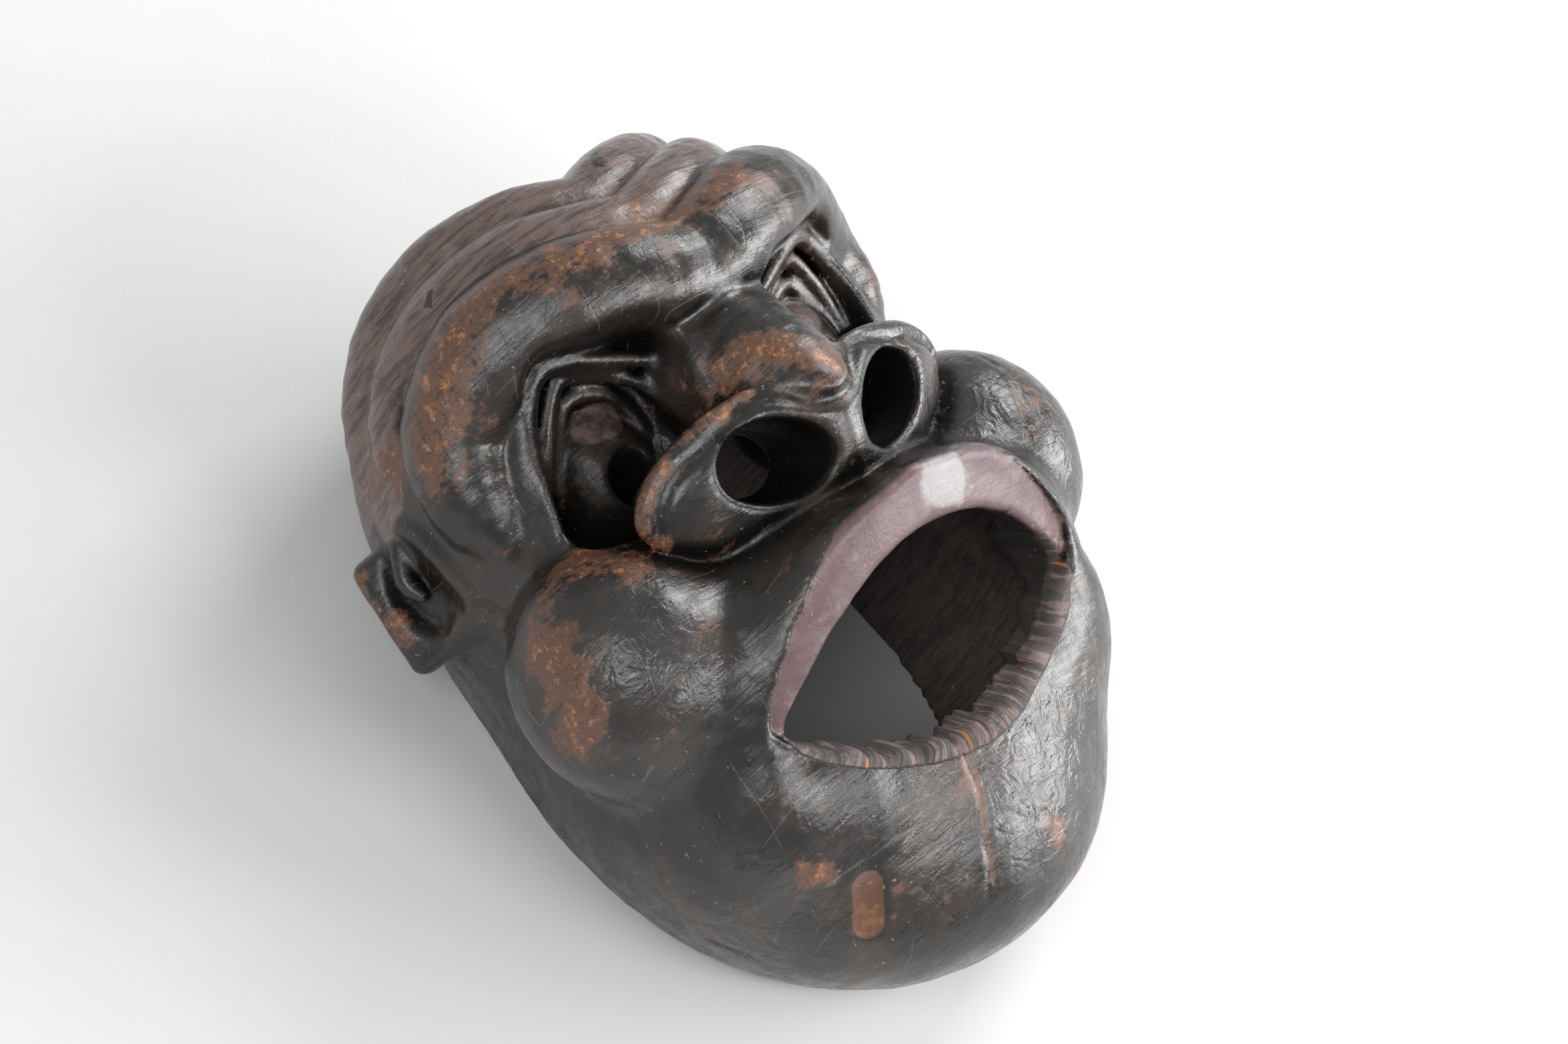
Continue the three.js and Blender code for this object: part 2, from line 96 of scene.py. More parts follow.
# Rolls and ridges of one side: points across, along and out, each with its radius
FRONT_ROLL = ((0, 62, 142, 17), (18, 66, 143, 19), (42, 73, 137, 21), (63, 76, 120, 22),
              (79, 67, 101, 19), (85, 50, 92, 16), (83, 35, 88, 11))
MIDDLE_ROLL = ((0, 85, 135, 14), (20, 91, 134, 14), (42, 98, 125, 15), (62, 99, 104, 15),
               (78, 88, 81, 13), (86, 68, 62, 6))
BACK_ROLL = ((0, 105, 122, 14), (20, 112, 120, 14), (42, 117, 109, 14), (60, 115, 87, 14),
             (74, 102, 66, 12), (83, 84, 48, 6))
LIP = ((0, -46, 151, 11), (30, -49, 142, 12), (53, -56, 120, 12), (68, -66, 104.5, 9),
       (73, -79, 91, 6))
ROLLS_AND_FILLETS = ((BACK_ROLL, 5), (MIDDLE_ROLL, 3), (FRONT_ROLL, 3), (LIP, 14))

# The eye of one side
SOCKET = ((50, 29, 128), (27, 31, 37), 11, (("z", 13), ("x", 14), ("y", 12)))
FLOOR_POINT = (52, 59, 118)
FLOOR_NORMAL = (0.243, -0.569, 0.785)
EYEBALL = ((46, 36, 91), (20, 27, 24))
LEDGE = ((22, 47, 127, 2), (32, 52, 128, 3), (46, 58.5, 128.5, 3.5), (57, 62.5, 128, 4),
         (64, 60, 123, 4), (70, 52, 116, 4), (75, 42, 108, 4), (77, 33, 100, 3))
UPPER_LID = ((24, 42, 119, 2), (31, 48, 121.5, 2.5), (41, 55, 123, 3), (51, 58, 123, 3),
             (56, 56.5, 120.5, 3), (61, 51, 114.5, 3), (66, 43, 107, 3), (69, 36, 101, 2.5))
INNER_LID = ((30, 36, 108, 2.5), (33, 43, 112.5, 3), (39, 49.5, 116, 3), (46, 53, 116.5, 3.5),
             (52, 53, 115, 3), (57, 48.5, 110, 3), (62, 42, 104, 3), (65, 33, 97, 2.5))
EYE_HOLE = ((46, 21, 121, 8), (45, 24, 101, 8.5), (44, 26.5, 75, 9))
SOCKET_FILLET = 4
EYE_FILLET = 3

# The nose, with one of its wings and nostrils, and the ear of one side
BRIDGE = ((0, 52, 106, 24), (0, 36, 124, 25), (0, 17, 138, 21.5), (0, 3, 147, 15))
BRIDGE_FILLET = 5
WING = ((14, -8.5, 135.5), (57, 13, 26.5), (("x", -46.5), ("z", 15.5)))
WING_FILLET = 2.5
NOSTRIL_MIDDLE = 26.4            # distance of its middle from the nose's
NOSTRIL_LEAN = (0.324, 0.154)    # rise along Y and fall along Z for each step outwards
NOSTRIL_WIDE = 0.73              # height over width
NOSTRIL = ((19.3, -23, 161.5, 14.5), (19.3, -10.4, 144.7, 13.5), (18.5, 2, 128, 12.5),
           (17, 12, 108, 11), (16, 16, 85, 10))
NOSTRIL_FILLET = 4
EAR_TURNS = (("y", -38), ("x", 8))
EAR = ((95, 45, 48), (6, 22, 17), 5, EAR_TURNS)
EAR_BOWL = ((100.5, 45, 53), (6, 17, 9), EAR_TURNS)
EAR_RIDGE = ((97, 60, 58, 3.5), (101, 50, 55, 4), (100, 42, 56, 3))
EAR_FILLET = 3                   # within the ear
EAR_JOIN = 4                     # to the head

# The mouth lies in a leaning plane: "up" runs along it, "out" away from it
MOUTH_LEAN = math.radians(46.4)
MOUTH_CORNER = 25                # level of the corners, along "up"
LIP_EDGE = (78, 67, 0, 2.2)      # half width, rise, drop, and power of the outline's swell
LIP_CORNER = 26
LIP_BELOW = 3                    # how far the flat of the lip goes on below the corners
LIP_FILLET = 3
LIP_OUT = 140                    # level of that flat in the middle, along "out"
LIP_FALL = 13 / 70 ** 2
OPENING = (68, 43, 26, 2)
OPENING_CORNER = 14
OPENING_FILLET = 4
MOUTH_FLOOR = 60                 # the opening is cut down to this level

# The break of the mouth's lower edge: it ends above the corners, and higher at the far one
BREAK_TOP = 1
BREAK_CLIMB = 13
CLIMB_START = 48
CLIMB_WIDTH = 12
BREAK_MIDDLE = 10                # the point it runs round, above the corners
BREAK_RADIUS = 60
BREAK_BAND = 2.5                 # width of its jags, at either side of the edge
NOTCHES = (1.3, 7, 3)            # height, size and seed of the noise
SPLINTERS = (0.8, 2.6, 4)
SPLINTER_LENGTH = 0.2            # how much of "out" the splinters follow
BREAK_DEPTH = 6                  # the striped part of the break on the right, from outside
DEEP_FROM = 30                   # where that right part starts, along X
LOWER_TOP = 2                    # the lower part of the break, above the corners
LOWER_REACH = 14

# Places named for their relief as well
WING_RIDGE = ((-23, 12, 151), (-33, 13, 149), (-44, 13, 145), (-55, 10, 140), (-66, 3, 131),
              (-69, -1, 124), (-64, -8, 122))
OVAL_CHIP = ((-58, -123, 74), (-59, -130, 63))

# Lines and places rubbed through to the wood, on both sides: points, half width, strength
WORN = (
    (((29, 78, 159), (10, 77, 157), (-10, 79, 154), (-25, 76, 160), (-40, 80, 158), (-53, 84, 152),
      (-63, 87, 144), (-74, 85, 137), (-86, 77, 126), (-91, 71, 118), (-96, 66, 110),
      (-98, 57, 104)), 11, 0.95),
    (((-33, 79, 159), (-22, 78, 160)), 7, 1.05),
    (((-84, 8, 112), (-97, 2, 106), (-106, -3, 102), (-111, -12, 104), (-113, -24, 103),
      (-116, -36, 98)), 9, 0.85),
    (((-106, -12, 106), (-112, -24, 105)), 7, 1.0),
    (((-84, -3, 119), (-78, -8, 121)), 9, 0.7),
    (WING_RIDGE, 4, 0.8),
    (((-17, 25, 150), (-9, 20, 156), (-3, 12, 160), (2, 5, 161)), 10, 0.95),
    (((-30, 22, 135), (-33, 18, 128)), 6, 0.7),
    (((-12, -108, 98), (-13, -122, 91), (-16, -132, 84), (-18, -140, 76), (-19, -145, 72)), 1.8, 1.0),
    (((90, -6, 120), (89, -16, 124), (83, -28, 126), (76, -41, 124)), 1.8, 0.9),
    (((93, -20, 120), (92, -30, 121)), 7, 0.75),
    (((-70, -111, 79), (-76, -107, 80)), 6, 0.7),
    (((13, -142, 75), (14, -144, 72)), 4, 1.3),
    (((-107, 62, 41), (-108, 50, 41), (-107, 40, 42)), 5, 0.8),
    (((-91, 78, 78), (-93, 80, 66)), 8, 0.55),
    (((-70, -60, 116), (-73, -50, 119)), 3, 0.8),
    (((-115, -60, 55), (-108, -78, 45)), 12, 0.45),
)

# Open splits in the wood
SPLITS = (
    ((-12, -108, 98), (-13, -122, 91), (-17, -132, 84), (-18, -140, 76), (-22, -147, 70)),
    ((-5, -112, 92), (-8, -124, 88), (-11, -134, 82)),
    ((90, -6, 120), (89, -16, 124), (83, -28, 126), (76, -41, 124)),
    ((-86, -98, 30), (-83, -108, 33), (-80, -115, 34)),
    ((-15, 60, 160), (-16, 54, 156), (-15, 49, 150)),
    ((-92, 80, 92), (-95, 76, 84)),
    ((-110, -30, 99), (-106, -36, 108)),
)

# Lines of relief that both sides have
NOSE_GROOVE = ((0, -7, 158), (8, -4.5, 157.5), (14, 2, 156.5), (22, 9, 154), (33, 8, 151),
               (44, 6, 147), (52, 5, 143), (59, 4, 138), (64, 0, 132), (65, -5, 126))
CREASE_DEPTH = 1.7               # from the groove's named line to its cut bottom
EAR_RIM = ((97, 64, 66), (97, 56, 70), (97, 46, 71), (96, 36, 70), (95, 28, 67), (95, 23, 58))
EAR_LOBE = ((96, 25, 54), (95, 26, 44))
EAR_DIP = ((98, 44, 60), (97, 37, 57), (99, 33, 52))

# Relief along lines: depth (raised where it is negative), reach and steepness
RELIEF = ((NOSE_GROOVE, 4.6, 2.2, 2), (EAR_RIM, -2.6, 3.4, 2), (EAR_LOBE, -2.4, 6, 4),
          (EAR_DIP, 2.8, 5, 2))
WING_RIDGE_RELIEF = (-0.8, 3, 2)
SPLIT_RELIEF = (0.7, 0.9, 2)
OVAL_RELIEF = (1.2, 5, 4)
TOOL_MARKS = ((0.35, 13, 1), (0.16, 5, 2))     # height, size and seed of the noise

# Places that only the colours follow
# a painted highlight on the lip: its middle and its reach
LIP_HIGHLIGHT_PLACE = (10, -42, 152)
LIP_HIGHLIGHT_REACH = 14
IRIS_PLACE = ((46.5, 41.5, 112.5), (10, 8, 9))
EYE_SHADE = ((44, 24, 110), (25, 28, 22))
PAINT_BELOW = 1                  # how far the lip's paint goes on below the corners
OLD_PAINT_REACH = 8              # of the front roll over the paint of the rolls behind it
SHELTER_REACH = 12               # a place is painted in shade if wood is this near in front of it
BEND_REACH = 3

# The floor and the light, in metres and watts
FLOOR_HALF = 6.0
FLOOR_ROUGHNESS = 0.9
FLOOR_SPECULAR = 0.2
ROOM_STRENGTH = 0.54
LIT_POINT = (0, 0, 0.08)
WINDOWS = (                      # place, width, height and power
    ("window", (1.28, -0.98, 0.62), 1.4, 0.65, 31),
    ("skylight", (0.10, -1.15, 1.12), 0.62, 0.36, 9),
    ("upper window", (1.19, 0.40, 1.14), 0.8, 0.7, 17),
    ("room window", (-1.15, -0.10, 1.25), 0.9, 0.7, 11),
)


def blend(a, b, width):
    """Joins two fields with a fillet of about the given width."""
    h = np.maximum(width - np.abs(a - b), 0) / width
    return np.minimum(a, b) - h * h * (width * 0.25)


def overlap(a, b, width):
    """What two fields share, with a fillet."""
    return -blend(-a, -b, width)


def carve(a, b, width):
    """The first field without the second, with a fillet."""
    return overlap(a, -b, width)


def mirrored(x, rounding):
    """The distance from the middle, rounded where the two sides meet."""
    return np.sqrt(x * x + rounding * rounding)


def turned(x, y, z, turns):
    """The place in the axes of a form that is turned, by degrees about one axis after another."""
    for axis, degrees in turns:
        c = math.cos(math.radians(degrees))
        s = math.sin(math.radians(degrees))
        if axis == "x":
            y, z = c * y + s * z, c * z - s * y
        elif axis == "y":
            x, z = c * x - s * z, s * x + c * z
        else:
            x, y = c * x + s * y, c * y - s * x
    return x, y, z


def ellipsoid(x, y, z, centre, radii, turns=()):
    """An ellipsoid; a fourth radius is its depth behind the centre."""
    x, y, z = turned(x - centre[0], y - centre[1], z - centre[2], turns)
    rz = radii[2] if len(radii) == 3 else np.where(z > 0, radii[2], radii[3])
    scaled = np.sqrt((x / radii[0]) ** 2 + (y / radii[1]) ** 2 + (z / rz) ** 2)
    slope = np.sqrt((x / radii[0] ** 2) ** 2 + (y / radii[1] ** 2) ** 2 + (z / rz ** 2) ** 2)
    return scaled * (scaled - 1) / np.maximum(slope, 1e-6)


def rounded_block(x, y, z, centre, half, corner, turns):
    """A block of the given half sizes, with rounded corners."""
    offset = turned(x - centre[0], y - centre[1], z - centre[2], turns)
    qx, qy, qz = [np.abs(value) - size + corner for value, size in zip(offset, half)]
    outside = np.sqrt(np.maximum(qx, 0) ** 2 + np.maximum(qy, 0) ** 2 + np.maximum(qz, 0) ** 2)
    return outside + np.minimum(np.maximum(np.maximum(qx, qy), qz), 0) - corner


def smooth_line(points, steps):
    """A smooth line through points that carry a radius."""
    points = np.array(points, float)
    points = np.vstack([2 * points[0] - points[1], points, 2 * points[-1] - points[-2]])
    line = []
    for a, b, c, d in zip(points, points[1:], points[2:], points[3:]):
        for t in np.arange(steps) / steps:
            line.append(0.5 * (2 * b + (c - a) * t + (2 * a - 5 * b + 4 * c - d) * t ** 2
                               + (3 * b - a - 3 * c + d) * t ** 3))
    return np.array(line + [points[-2]])


def rod(x, y, z, points, steps=3):
    """A rod of changing radius along a smooth line through the points."""
    line = smooth_line(points, steps)
    nearest = np.full(np.shape(x), 1e9)
    for a, b in zip(line, line[1:]):
        d = b - a
        t = np.clip(((x - a[0]) * d[0] + (y - a[1]) * d[1] + (z - a[2]) * d[2]) / (d[:3] @ d[:3]), 0, 1)
        away = np.sqrt((x - a[0] - t * d[0]) ** 2 + (y - a[1] - t * d[1]) ** 2
                       + (z - a[2] - t * d[2]) ** 2)
        nearest = np.minimum(nearest, away - a[3] - t * d[3])
    return nearest


def noise(x, y, z, size, seed=0):
    """Smooth noise between -1 and 1 that changes over the given size."""
    total = 0
    place = [np.asarray(v, float) / size + 31.7 * seed for v in (x, y, z)]
    cell = [np.floor(v).astype(np.int64) for v in place]
    part = [v - c for v, c in zip(place, cell)]
    soft = [p * p * (3 - 2 * p) for p in part]
    for corner in range(8):
        step = [(corner >> n) & 1 for n in range(3)]
        code = ((cell[0] + step[0]) * 73856093 ^ (cell[1] + step[1]) * 19349663
                ^ (cell[2] + step[2]) * 83492791)
        code = (code ^ (code >> 13)) * 1274126177 & 0xFFFFFFFF
        value = ((code >> 8) & 0xFFFF) / 32767.5 - 1
        weight = 1
        for s, n in zip(soft, step):
            weight = weight * (s if n else 1 - s)
        total = total + weight * value
    return total


def mouth_axes(y, z):
    """Places along the mouth's plane and away from it."""
    c, s = math.cos(MOUTH_LEAN), math.sin(MOUTH_LEAN)
    return y * c + z * s, z * c - y * s


def outside_outline(x, up, outline, round_corner):
    """How far a point is outside the outline of the lips or of the opening."""
    half, over, under, power = outline
    swell = 1 - np.minimum(np.abs(x) / half, 1.6) ** power
    above = up - MOUTH_CORNER - over * swell
    below = MOUTH_CORNER - under * swell - up
    return 0.75 * overlap(above, below, round_corner)


def lip_level(x):
    """How far out the flat of the lip lies."""
    return LIP_OUT - LIP_FALL * x * x


def opening_cut(x, up, out):
    """The cut of the mouth's opening, negative inside it."""
    return np.maximum(outside_outline(x, up, OPENING, OPENING_CORNER), MOUTH_FLOOR - out)


def head(x, y, z):
    """The broad forms, joined."""
    side = mirrored(x, BROAD_ROUNDING)
    d = ellipsoid(x, y, z, *SKULL)
    for centre, radii, fillet in (SIDES, JAW):
        d = blend(d, ellipsoid(x, y, z, centre, radii), fillet)
    for centre, radii, fillet in (JOWL, CHEEK):
        d = blend(d, ellipsoid(side, y, z, centre, radii), fillet)
    return blend(d, ellipsoid(x, y, z, *MUZZLE[:2]), MUZZLE[2])


def ear(side, y, z):
    """A leaning dish with a ridge in it."""
    dish = carve(rounded_block(side, y, z, *EAR), ellipsoid(side, y, z, *EAR_BOWL), EAR_FILLET)
    return blend(dish, rod(side, y, z, EAR_RIDGE), EAR_FILLET)


def eye(d, side, y, z):
    """The field with a socket carved into it, and the eyeball, its lids and its hole."""
    floor = sum(n * (v - p) for n, v, p in zip(FLOOR_NORMAL, (side, y, z), FLOOR_POINT))
    socket = overlap(rounded_block(side, y, z, *SOCKET), -floor, SOCKET_FILLET)
    d = carve(d, socket, SOCKET_FILLET)
    d = blend(d, ellipsoid(side, y, z, *EYEBALL), EYE_FILLET)
    for ridge in (LEDGE, UPPER_LID, INNER_LID):
        d = blend(d, rod(side, y, z, ridge), EYE_FILLET)
    return carve(d, rod(side, y, z, EYE_HOLE), EYE_FILLET)


def features(d, x, y, z):
    """The field with the carved parts on it: rolls, lip, ears, eyes and nose."""
    side = mirrored(x, FINE_ROUNDING)
    for line, fillet in ROLLS_AND_FILLETS:
        d = blend(d, rod(side, y, z, line), fillet)
    d = blend(d, ear(side, y, z), EAR_JOIN)
    d = eye(d, side, y, z)
    d = blend(d, rod(x, y, z, BRIDGE), BRIDGE_FILLET)
    return blend(d, ellipsoid(side, y, z, *WING), WING_FILLET)


def hollow_of(broad, d):
    """The hollow, a wall's thickness inside the broad forms."""
    return overlap(broad + WALL, d + THINNEST, HOLLOW_FILLET)


def nostril(x, y, z):
    """Both nostrils, from the nose's underside through to the hollow."""
    side = mirrored(x, FINE_ROUNDING)
    outer = side - NOSTRIL_MIDDLE
    rise, fall = NOSTRIL_LEAN
    return rod(side * NOSTRIL_WIDE, y - rise * outer, z + fall * outer, NOSTRIL)


def mask(x, y, z):
    """The mask as a field, negative inside the wood."""
    broad = head(x, y, z)
    up, out = mouth_axes(y, z)
    d = features(broad, x, y, z)
    hollow = hollow_of(broad, d)
    edge = outside_outline(x, up, LIP_EDGE, LIP_CORNER)
    band = np.maximum(np.maximum(edge, lip_level(x) - out), MOUTH_CORNER - LIP_BELOW - up)
    d = carve(d, band, LIP_FILLET)
    d = carve(d, nostril(x, y, z), NOSTRIL_FILLET)
    d = carve(d, opening_cut(x, up, out), OPENING_FILLET)
    d = carve(d, hollow, HOLLOW_EDGE)
    return np.maximum(d, -z)


def in_pieces(field, points, most=400000):
    """The field at each point, a part of them at a time."""
    return np.concatenate([field(*points[n:n + most].T) for n in range(0, len(points), most)])


def sampled(field):
    """The field on the net, worked out only near its surface."""
    size = [int(math.ceil((high - low) / PITCH / COARSE)) * COARSE + 1
            for low, high in zip(LOW, HIGH)]
    axes = [low + PITCH * np.arange(n) for low, n in zip(LOW, size)]
    block = PITCH * COARSE
    centres = [axis[COARSE // 2:-1:COARSE] for axis in axes]
    grid = np.stack(np.meshgrid(*centres, indexing="ij"), -1)
    rough = in_pieces(field, grid.reshape(-1, 3)).reshape(grid.shape[:3])
    whole = rough
    for axis in range(3):
        whole = np.repeat(whole, COARSE, axis)
        whole = np.concatenate([whole, np.take(whole, [-1], axis)], axis)
    values = whole.astype(np.float32)
    near = np.argwhere(np.abs(whole) < block * NEAR_BLOCKS)
    at = np.stack([axes[n][near[:, n]] for n in range(3)], 1)
    values[tuple(near.T)] = in_pieces(field, at)
    return values


def net_over(values):
    """A net of four-sided faces over the zero surface of the sampled field."""
    inside = values < 0
    cells = np.zeros(tuple(n - 1 for n in values.shape), np.uint8)
    corners = [((c >> 2) & 1, (c >> 1) & 1, c & 1) for c in range(8)]

    def shifted(array, corner):
        return array[tuple(slice(s, s + n) for s, n in zip(corner, cells.shape))]

    for corner in corners:
        cells += shifted(inside, corner)
    active = np.argwhere((cells > 0) & (cells < 8))
    total = np.zeros((len(active), 3))
    count = np.zeros(len(active))
    for n, start in enumerate(corners):
        for axis in range(3):
            if start[axis] == 0:
                end = tuple(1 if a == axis else start[a] for a in range(3))
                v0 = values[tuple((active + start).T)]
                v1 = values[tuple((active + end).T)]
                cross = (v0 < 0) != (v1 < 0)
                t = np.where(cross, v0 / np.where(cross, v0 - v1, 1), 0)
                place = np.array(start) + t[:, None] * (np.array(end) - start)
                total += np.where(cross[:, None], place, 0)
                count += cross
    points = np.array(LOW) + PITCH * (active + total / count[:, None])
    number = np.full(cells.shape, -1, np.int32)
    number[tuple(active.T)] = np.arange(len(active))
    faces = []
    for axis in range(3):
        u, v = [(axis + 1) % 3, (axis + 2) % 3]
        first = inside[tuple(slice(None, -1) if a == axis else slice(None) for a in range(3))]
        second = inside[tuple(slice(1, None) if a == axis else slice(None) for a in range(3))]
        edges = np.argwhere(first != second)
        edges = edges[(edges[:, u] > 0) & (edges[:, v] > 0)]
        edges = edges[(edges[:, u] < cells.shape[u]) & (edges[:, v] < cells.shape[v])]
        steps = []
        for du, dv in ((0, 0), (1, 0), (1, 1), (0, 1)):
            cell = edges.copy()
            cell[:, u] -= du
            cell[:, v] -= dv
            steps.append(number[tuple(cell.T)])
        quads = np.stack(steps, 1)
        solid_first = inside[tuple(edges.T)]
        faces.append(np.where(solid_first[:, None], quads, quads[:, ::-1]))
    return points, np.concatenate(faces)


def to_metres(points):
    """The form's millimetres as places in the scene."""
    return (points + (0, MIDDLE, 0)) / 1000


def to_millimetres(points):
    """Places in the scene as the form's millimetres."""
    return points * 1000 - (0, MIDDLE, 0)


def mesh_of(name, points, faces):
    """A mesh of the net."""
    mesh = bpy.data.meshes.new(name)
    mesh.from_pydata(to_metres(points).tolist(), [], faces.tolist())
    mesh.update()
    return mesh


def thinned(mesh, wanted):
    """The mesh with its flat stretches in larger triangles."""
    rough = bpy.data.objects.new("rough", mesh)
    bpy.context.scene.collection.objects.link(rough)
    modifier = rough.modifiers.new("fewer", "DECIMATE")
    modifier.ratio = min(1.0, wanted / (2 * len(mesh.polygons)))
    graph = bpy.context.evaluated_depsgraph_get()
    fine = bpy.data.meshes.new_from_object(rough.evaluated_get(graph))
    bpy.data.objects.remove(rough)
    return fine


def shifts(step):
    """A step along each of the three axes."""
    return step * np.eye(3)


def gradient(field, points):
    """The field's slope along each axis."""
    parts = []
    for shift in shifts(SLOPE_STEP):
        rise = in_pieces(field, points + shift) - in_pieces(field, points - shift)
        parts.append(rise / (2 * SLOPE_STEP))
    return np.stack(parts, 1)


def positions(mesh):
    """The mesh's points, in metres."""
    flat = np.empty(3 * len(mesh.vertices), np.float64)
    mesh.vertices.foreach_get("co", flat)
    return flat.reshape(-1, 3)


def pulled(field, mesh):
    """Moves the mesh's points onto the field's zero surface."""
    points = to_millimetres(positions(mesh))
    for _ in range(RELIEF_STEPS):
        slope = gradient(field, points)
        size = np.maximum(np.sum(slope * slope, 1), LEAST_SLOPE)
        move = -in_pieces(field, points)[:, None] * slope / size[:, None]
        length = np.linalg.norm(move, axis=1, keepdims=True)
        points += move * np.minimum(1, LARGEST_MOVE / np.maximum(length, 1e-6))
    places = np.clip(to_metres(points), *CAD_BOX)
    mesh.vertices.foreach_set("co", places.ravel())
    mesh.update()
    return to_millimetres(places)


def nearest_line(x, y, z, points):
    """The distance to a smooth line."""
    return rod(x, y, z, [(*point, 0) for point in points], 2)


def break_top(x):
    """The level where the broken edge ends: higher at the far corner."""
    climb = np.clip((x - CLIMB_START) / CLIMB_WIDTH, 0, 1)
    return MOUTH_CORNER + BREAK_TOP + BREAK_CLIMB * climb


def along_break(x, up):
    """A length that runs along the mouth's edge."""
    return BREAK_RADIUS * np.arctan2(up - MOUTH_CORNER - BREAK_MIDDLE, x)


def jags(x, up, out):
    """The notches and splinters of the broken edge, and nothing away from it."""
    edge = np.clip(1.5 - np.abs(opening_cut(x, up, out)) / BREAK_BAND, 0, 1)
    at_break = edge * np.clip(break_top(x) - up, 0, 1)
    along = along_break(x, up)
    level = 0 * x
    notch, *notch_noise = NOTCHES
    splinter, *splinter_noise = SPLINTERS
    jagged = notch * noise(along, level, level, *notch_noise)
    jagged = jagged + splinter * noise(along, level, SPLINTER_LENGTH * out, *splinter_noise)
    return at_break * jagged


def relief(x, y, z, line, depth, reach, steepness):
    """A dent along a line, or a ridge where the depth is negative."""
    return depth * np.exp(-(nearest_line(x, y, z, line) / reach) ** steepness)


def carved(x, y, z):
    """The mask with its tool marks, chips and broken edges."""
    up, out = mouth_axes(y, z)
    side = np.abs(x)
    d = mask(x, y, z)
    for height, size, seed in TOOL_MARKS:
        d = d + height * noise(x, y, z, size, seed)
    for line, *form in RELIEF:
        d = d + relief(side, y, z, line, *form)
    d = d + relief(-side, y, z, WING_RIDGE, *WING_RIDGE_RELIEF)
    for line in SPLITS:
        d = d + relief(x, y, z, line, *SPLIT_RELIEF)
    d = d + relief(x, y, z, OVAL_CHIP, *OVAL_RELIEF)
    return d + jags(x, up, out)


def rubbed(x, y, z):
    """How much each point is rubbed, by the named lines."""
    total = np.zeros(len(x))
    for line, reach, strength in WORN:
        total = np.maximum(total, strength * np.exp(-(nearest_line(x, y, z, line) / reach) ** 2))
    return total


def bend_of(points):
    """How the mask curves at each point: above zero on edges, below zero in grooves."""
    total = -6 * in_pieces(mask, points)
    for shift in shifts(BEND_REACH):
        for way in (-shift, shift):
            total += in_pieces(mask, points + way)
    return total / BEND_REACH ** 2


def shelter_of(points):
    """How near the wood in front of each point is: below one in grooves, where shade is painted."""
    slope = gradient(mask, points)
    slope /= np.maximum(np.linalg.norm(slope, axis=1, keepdims=True), 1e-6)
    return in_pieces(mask, points + SHELTER_REACH * slope) / SHELTER_REACH


def marked(mesh, points):
    """Gives the mesh the values that its material reads."""
    x, y, z = points.T
    side = np.abs(x)
    up, out = mouth_axes(y, z)
    broad = head(x, y, z)
    detailed = features(broad, x, y, z)
    lip_edge = outside_outline(x, up, LIP_EDGE, LIP_CORNER)
    splits = [nearest_line(x, y, z, line) for line in SPLITS]
    # painted shade: a dark line along the bottom of the nose's groove, carried with the splits
    groove_line_shade = np.maximum(nearest_line(side, y, z, NOSE_GROOVE) - CREASE_DEPTH, 0)
    rolls = np.minimum(rod(side, y, z, MIDDLE_ROLL), rod(side, y, z, BACK_ROLL))
    front_roll = np.minimum(rod(side, y, z, FRONT_ROLL), OLD_PAINT_REACH)
    from_lip_highlight = np.linalg.norm(points - LIP_HIGHLIGHT_PLACE, axis=1)
    values = {
        "rubbed": rubbed(x, y, z),
        "lip": np.maximum(lip_edge, MOUTH_CORNER - PAINT_BELOW - up),
        "lip_out": out - lip_level(x),
        "opening": opening_cut(x, up, out),
        "below_corner": break_top(x) - up,
        "lower": np.clip((MOUTH_CORNER + LOWER_TOP - up) / LOWER_REACH, 0, 1),
        "deep": np.where(x > DEEP_FROM, -detailed - BREAK_DEPTH, -1),
        "along": along_break(x, up),
        "nostril": nostril(x, y, z),
        "height": z,
        "oval": nearest_line(x, y, z, OVAL_CHIP),
        "split_and_groove_shade": np.minimum.reduce([*splits, groove_line_shade]),
        "iris": ellipsoid(side, y, z, *IRIS_PLACE),
        # where shade is painted in the eye's socket
        "socket": ellipsoid(side, y, z, *EYE_SHADE),
        "hollow": hollow_of(broad, detailed),
        "old_paint": rolls - front_roll,
        "bend": bend_of(points),
        "painted_shade": shelter_of(points),
        "pale": np.exp(-(from_lip_highlight / LIP_HIGHLIGHT_REACH) ** 2),
    }
    for name, value in values.items():
        attribute = mesh.attributes.new(name, "FLOAT", "POINT")
        attribute.data.foreach_set("value", value.astype(np.float32))


